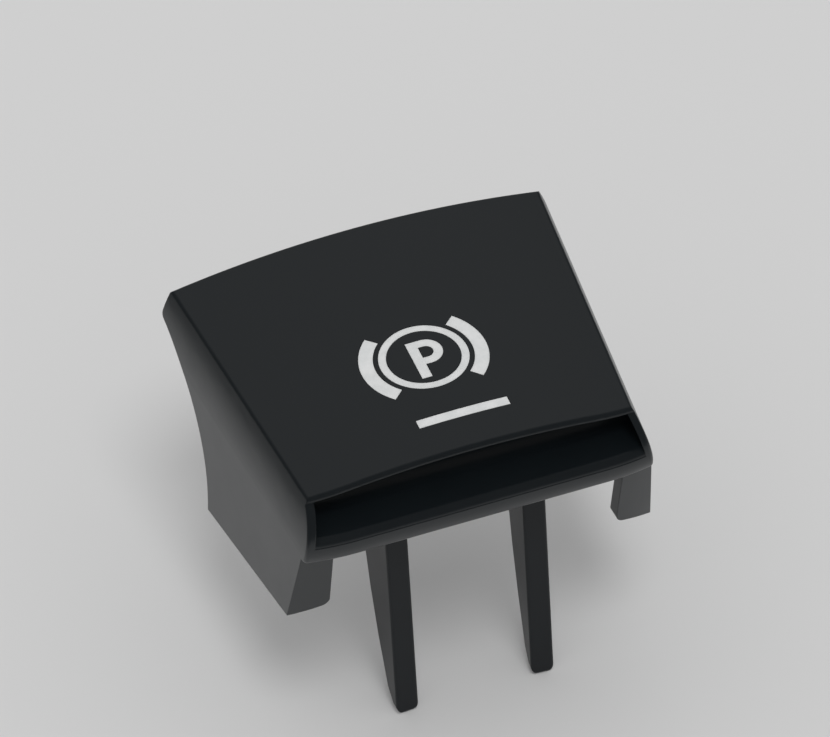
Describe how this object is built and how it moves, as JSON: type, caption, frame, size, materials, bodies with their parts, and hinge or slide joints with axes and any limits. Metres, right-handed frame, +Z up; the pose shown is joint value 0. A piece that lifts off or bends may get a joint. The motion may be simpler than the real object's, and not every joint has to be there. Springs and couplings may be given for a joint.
{
  "type": "parking brake switch button",
  "caption": "Rocking push-pull button of a parking brake switch: hollow black cap with a finger scoop, lit brake symbol and bar, steel pivot pin and two long legs.",
  "frame": {"origin": "middle of the pivot pin, on the axis the button rocks about", "axes": "+X to the right along the pin, +Y to the rear, +Z up out of the top face; the finger scoop faces -Y"},
  "size_m": [0.0386, 0.0344, 0.0345],
  "materials": {
    "shell_black": "fine satin grain, black",
    "diffuser_milky": "milky white, satin",
    "frame_black": "plain moulded, black",
    "guide_clear": "clear, polished",
    "leg_black": "satin, black",
    "pin_steel": "ground bright"
  },
  "bodies": {
    "pin": {"pivot_pin": "pin_steel"},
    "button": {"outer_shell": "shell_black", "symbol_diffuser": "diffuser_milky", "ring_field": "shell_black", "letter_field": "shell_black", "bar_diffuser": "diffuser_milky", "light_shroud": "frame_black", "symbol_light_guide": "guide_clear", "bar_light_guide": "guide_clear", "carrier_frame": "frame_black"},
    "leg_left": {"left_leg": "leg_black"},
    "leg_right": {"right_leg": "leg_black"}
  },
  "joints": [
    {"name": "button_rock", "type": "hinge", "parent": "pin", "child": "button", "pos_m": [0, 0, 0], "axis": [-1, 0, 0], "range_deg": [-4, 6], "stiffness_Nm_per_rad": 0.9},
    {"name": "left_leg_play", "type": "hinge", "parent": "button", "child": "leg_left", "pos_m": [-0.00688, -0.01066, 0.00344], "axis": [-0.0698, 0.9976, 0], "range_deg": [-2, 2], "stiffness_Nm_per_rad": 0.01},
    {"name": "right_leg_play", "type": "hinge", "parent": "button", "child": "leg_right", "pos_m": [0.00688, -0.01066, 0.00344], "axis": [0.0698, 0.9976, 0], "range_deg": [-2, 2], "stiffness_Nm_per_rad": 0.01}
  ]
}
